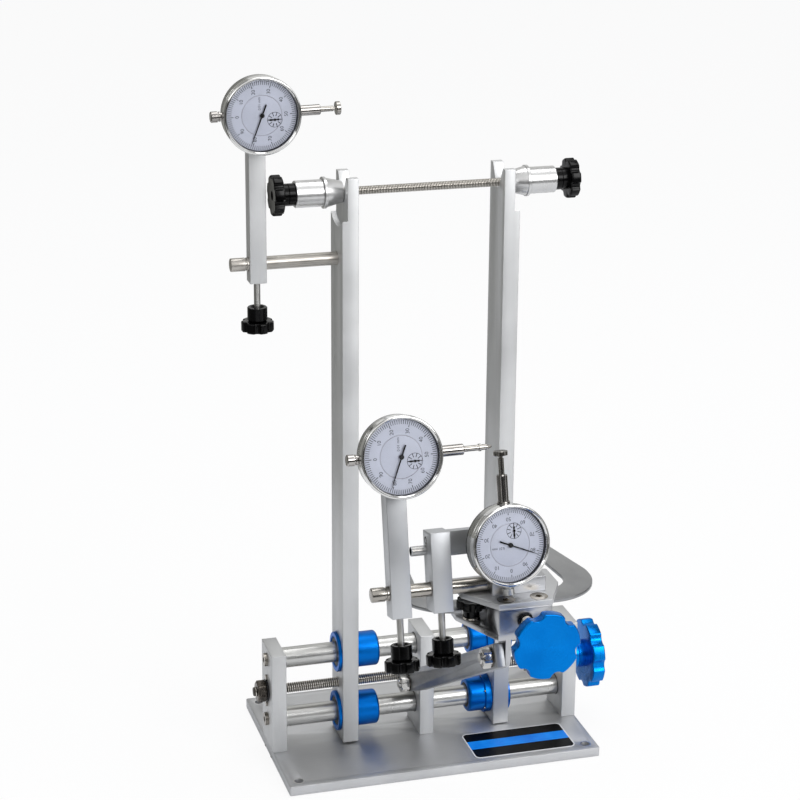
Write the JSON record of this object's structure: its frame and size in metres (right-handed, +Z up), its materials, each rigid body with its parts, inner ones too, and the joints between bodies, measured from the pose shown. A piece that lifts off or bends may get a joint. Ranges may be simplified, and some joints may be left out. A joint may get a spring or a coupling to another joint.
{
  "type": "bicycle wheel truing stand",
  "caption": "Bench stand for truing bicycle wheels: lead screw moves slotted uprights, clamp cones hold the axle, dial gauges on swinging arms read hub and rim.",
  "frame": {"origin": "centre of the base plate's underside", "axes": "+X to the right along the wheel axle, +Y away from the user, +Z up"},
  "size_m": [0.311, 0.3665, 0.5412],
  "materials": {
    "frame_aluminium": "satin clear anodised",
    "blue_aluminium": "blue anodised, turned",
    "ground_rod": "ground and plated",
    "threaded_steel": "rolled thread",
    "fastener_steel": "zinc plated",
    "turned_aluminium": "turned and polished",
    "knob_plastic": "moulded black",
    "horseshoe_steel": "milled plate",
    "gauge_chrome": "chrome plated",
    "gauge_glass": "clear",
    "dial_face": "printed pale grey blue",
    "hand_black": "black enamel",
    "plunger_steel": "ground"
  },
  "bodies": {
    "stand": {"base_plate": "frame_aluminium", "end_bracket_left": "frame_aluminium", "end_bracket_right": "frame_aluminium", "centre_bracket": "frame_aluminium", "guide_rod_upper": "ground_rod", "guide_rod_lower": "ground_rod", "frame_screws": "fastener_steel", "arm_pivot_bolt": "fastener_steel"},
    "lead_screw": {"lead_screw": "threaded_steel", "lead_screw_nut": "fastener_steel", "spindle_knob": "blue_aluminium"},
    "left_upright": {"upright_left": "frame_aluminium", "bushes_left": "blue_aluminium", "hub_gauge_rod": "ground_rod"},
    "right_upright": {"upright_right": "frame_aluminium", "bushes_right": "blue_aluminium", "bush_screws": "fastener_steel"},
    "left_clamp": {"clamp_sleeve_left": "turned_aluminium"},
    "right_clamp": {"clamp_sleeve_right": "turned_aluminium"},
    "left_clamp_knob": {"clamp_knob_left": "knob_plastic"},
    "right_clamp_knob": {"clamp_knob_right": "knob_plastic"},
    "axle_rod": {"axle_rod": "threaded_steel"},
    "hub_arm": {"hub_gauge_arm": "frame_aluminium", "hub_gauge_case": "gauge_chrome"},
    "hub_arm_knob": {"hub_arm_knob": "knob_plastic"},
    "swing_arm": {"swing_arm": "frame_aluminium"},
    "carriage": {"carriage_pivot_bolt": "fastener_steel", "carriage_body": "frame_aluminium", "carriage_top_plate": "frame_aluminium", "plate_screws": "fastener_steel", "rod_block": "frame_aluminium", "gauge_rod": "ground_rod"},
    "horseshoe": {"horseshoe": "horseshoe_steel"},
    "feed": {"feed_screw": "threaded_steel", "feed_knob": "blue_aluminium"},
    "lock_knob": {"lock_knob": "knob_plastic"},
    "lateral_arm": {"lateral_arm": "frame_aluminium", "lateral_gauge_case": "gauge_chrome"},
    "lateral_arm_knob": {"lateral_arm_knob": "knob_plastic"},
    "radial_arm": {"radial_bracket": "frame_aluminium", "radial_gauge_case": "gauge_chrome"},
    "radial_arm_knob": {"radial_arm_knob": "knob_plastic"},
    "hub_bezel": {"hub_gauge_bezel": "gauge_chrome", "hub_gauge_crystal": "gauge_glass", "hub_gauge_dial": "dial_face"},
    "hub_pointer": {"hub_gauge_pointer": "hand_black"},
    "hub_counter": {"hub_gauge_counter": "hand_black"},
    "hub_plunger": {"hub_gauge_plunger": "plunger_steel"},
    "lateral_bezel": {"lateral_gauge_bezel": "gauge_chrome", "lateral_gauge_crystal": "gauge_glass", "lateral_gauge_dial": "dial_face"},
    "lateral_pointer": {"lateral_gauge_pointer": "hand_black"},
    "lateral_counter": {"lateral_gauge_counter": "hand_black"},
    "lateral_plunger": {"lateral_gauge_plunger": "plunger_steel"},
    "radial_bezel": {"radial_gauge_bezel": "gauge_chrome", "radial_gauge_crystal": "gauge_glass", "radial_gauge_dial": "dial_face"},
    "radial_pointer": {"radial_gauge_pointer": "hand_black"},
    "radial_counter": {"radial_gauge_counter": "hand_black"},
    "radial_plunger": {"radial_gauge_plunger": "plunger_steel"}
  },
  "joints": [
    {"name": "lead_screw_turn", "type": "hinge", "parent": "stand", "child": "lead_screw", "pos_m": [0, -0.0028, 0.0534], "axis": [1, 0, 0], "range_deg": [-6842, 1802]},
    {"name": "left_upright_slide", "type": "slide", "parent": "stand", "child": "left_upright", "axis": [1, 0, 0], "range_m": [-0.038, 0.01]},
    {"name": "right_upright_slide", "type": "slide", "parent": "stand", "child": "right_upright", "axis": [1, 0, 0], "range_m": [-0.01, 0.038]},
    {"name": "left_clamp_slide", "type": "slide", "parent": "left_upright", "child": "left_clamp", "axis": [-1, 0, 0], "range_m": [0, 0.004]},
    {"name": "left_clamp_knob_turn", "type": "hinge", "parent": "left_clamp", "child": "left_clamp_knob", "pos_m": [-0.1, -0.0028, 0.4487], "axis": [-1, 0, 0], "range_deg": [0, 1442]},
    {"name": "right_clamp_slide", "type": "slide", "parent": "right_upright", "child": "right_clamp", "axis": [1, 0, 0], "range_m": [0, 0.004]},
    {"name": "right_clamp_knob_turn", "type": "hinge", "parent": "right_clamp", "child": "right_clamp_knob", "pos_m": [0.1, -0.0028, 0.4487], "axis": [1, 0, 0], "range_deg": [0, 1442]},
    {"name": "axle_rod_turn", "type": "hinge", "parent": "stand", "child": "axle_rod", "pos_m": [0, -0.0028, 0.4487], "axis": [1, 0, 0], "continuous": true},
    {"name": "hub_arm_swing", "type": "hinge", "parent": "left_upright", "child": "hub_arm", "pos_m": [-0.1286, -0.0028, 0.3986], "axis": [-1, 0, 0], "range_deg": [-40, 40]},
    {"name": "hub_arm_knob_turn", "type": "hinge", "parent": "hub_arm", "child": "hub_arm_knob", "pos_m": [-0.1286, -0.0028, 0.3847], "axis": [0, 0, 1], "range_deg": [0, 360]},
    {"name": "swing_arm_lift", "type": "hinge", "parent": "stand", "child": "swing_arm", "pos_m": [0, -0.0144, 0.0516], "axis": [-1, 0, 0], "range_deg": [-20, 25]},
    {"name": "carriage_tilt", "type": "hinge", "parent": "swing_arm", "child": "carriage", "pos_m": [0, -0.21662, 0.16531], "axis": [1, 0, 0], "range_deg": [-25, 25]},
    {"name": "feed_turn", "type": "hinge", "parent": "carriage", "child": "feed", "pos_m": [0.0018, -0.243, 0.203], "axis": [0, -1, 0], "range_deg": [-962, 2882]},
    {"name": "horseshoe_slide", "type": "slide", "parent": "carriage", "child": "horseshoe", "axis": [0, 1, 0], "range_m": [-0.004, 0.012]},
    {"name": "lock_knob_turn", "type": "hinge", "parent": "carriage", "child": "lock_knob", "pos_m": [-0.0262, -0.2098, 0.1895], "axis": [0, 0, 1], "range_deg": [0, 360]},
    {"name": "lateral_arm_swing", "type": "hinge", "parent": "carriage", "child": "lateral_arm", "pos_m": [-0.0806, -0.217, 0.2217], "axis": [-1, 0, 0], "range_deg": [-12, 20]},
    {"name": "lateral_arm_knob_turn", "type": "hinge", "parent": "lateral_arm", "child": "lateral_arm_knob", "pos_m": [-0.0806, -0.217, 0.2217], "axis": [0, 0.2079, 0.9781], "range_deg": [0, 360]},
    {"name": "radial_arm_swing", "type": "hinge", "parent": "carriage", "child": "radial_arm", "pos_m": [-0.0512, -0.217, 0.2217], "axis": [-1, 0, 0], "range_deg": [-8, 20]},
    {"name": "radial_arm_knob_turn", "type": "hinge", "parent": "radial_arm", "child": "radial_arm_knob", "pos_m": [-0.0512, -0.217, 0.2217], "axis": [0, 0.2079, 0.9781], "range_deg": [0, 360]},
    {"name": "hub_bezel_turn", "type": "hinge", "parent": "hub_arm", "child": "hub_bezel", "pos_m": [-0.1286, -0.02005, 0.513], "axis": [0, -1, 0], "continuous": true},
    {"name": "hub_pointer_turn", "type": "hinge", "parent": "hub_arm", "child": "hub_pointer", "pos_m": [-0.1286, -0.02005, 0.513], "axis": [0, 1, 0], "range_deg": [0, 3602]},
    {"name": "hub_counter_turn", "type": "hinge", "parent": "hub_arm", "child": "hub_counter", "pos_m": [-0.11918, -0.02005, 0.50963], "axis": [0, 1, 0], "range_deg": [0, 361]},
    {"name": "hub_plunger_slide", "type": "slide", "parent": "hub_arm", "child": "hub_plunger", "axis": [-0.9997, 0, -0.0227], "range_m": [0, 0.01], "stiffness_N_per_m": 40, "springref_m": -0.01},
    {"name": "lateral_bezel_turn", "type": "hinge", "parent": "lateral_arm", "child": "lateral_bezel", "pos_m": [-0.0806, -0.21461, 0.31954], "axis": [0, -0.9781, 0.2079], "continuous": true},
    {"name": "lateral_pointer_turn", "type": "hinge", "parent": "lateral_arm", "child": "lateral_pointer", "pos_m": [-0.0806, -0.21461, 0.31954], "axis": [0, 0.9781, -0.2079], "range_deg": [0, 3602]},
    {"name": "lateral_counter_turn", "type": "hinge", "parent": "lateral_arm", "child": "lateral_counter", "pos_m": [-0.07123, -0.21533, 0.31611], "axis": [0, 0.9781, -0.2079], "range_deg": [0, 361]},
    {"name": "lateral_plunger_slide", "type": "slide", "parent": "lateral_arm", "child": "lateral_plunger", "axis": [-1, -0.0018, -0.0085], "range_m": [0, 0.01], "stiffness_N_per_m": 40, "springref_m": -0.01},
    {"name": "radial_bezel_turn", "type": "hinge", "parent": "radial_arm", "child": "radial_bezel", "pos_m": [-0.0089, -0.229, 0.25472], "axis": [0.1132, -0.9719, 0.2066], "continuous": true},
    {"name": "radial_pointer_turn", "type": "hinge", "parent": "radial_arm", "child": "radial_pointer", "pos_m": [-0.0089, -0.229, 0.25472], "axis": [-0.1132, 0.9719, -0.2066], "range_deg": [0, 3602]},
    {"name": "radial_counter_turn", "type": "hinge", "parent": "radial_arm", "child": "radial_counter", "pos_m": [-0.00549, -0.22667, 0.26382], "axis": [-0.1132, 0.9719, -0.2066], "range_deg": [0, 361]},
    {"name": "radial_plunger_slide", "type": "slide", "parent": "radial_arm", "child": "radial_plunger", "axis": [0.0156, -0.2061, -0.9784], "range_m": [0, 0.01], "stiffness_N_per_m": 40, "springref_m": -0.01}
  ],
  "couplings": [
    {"joint": "lead_screw_turn", "follows": "left_upright_slide", "rad_per_m": 3141.6},
    {"joint": "right_upright_slide", "follows": "left_upright_slide", "ratio": -1},
    {"joint": "left_clamp_knob_turn", "follows": "left_clamp_slide", "rad_per_m": 6283.2},
    {"joint": "right_clamp_knob_turn", "follows": "right_clamp_slide", "rad_per_m": 6283.2},
    {"joint": "feed_turn", "follows": "horseshoe_slide", "rad_per_m": 4188.8},
    {"joint": "hub_pointer_turn", "follows": "hub_plunger_slide", "rad_per_m": 6283.2},
    {"joint": "hub_counter_turn", "follows": "hub_plunger_slide", "rad_per_m": 628.32},
    {"joint": "lateral_pointer_turn", "follows": "lateral_plunger_slide", "rad_per_m": 6283.2},
    {"joint": "lateral_counter_turn", "follows": "lateral_plunger_slide", "rad_per_m": 628.32},
    {"joint": "radial_pointer_turn", "follows": "radial_plunger_slide", "rad_per_m": 6283.2},
    {"joint": "radial_counter_turn", "follows": "radial_plunger_slide", "rad_per_m": 628.32}
  ]
}
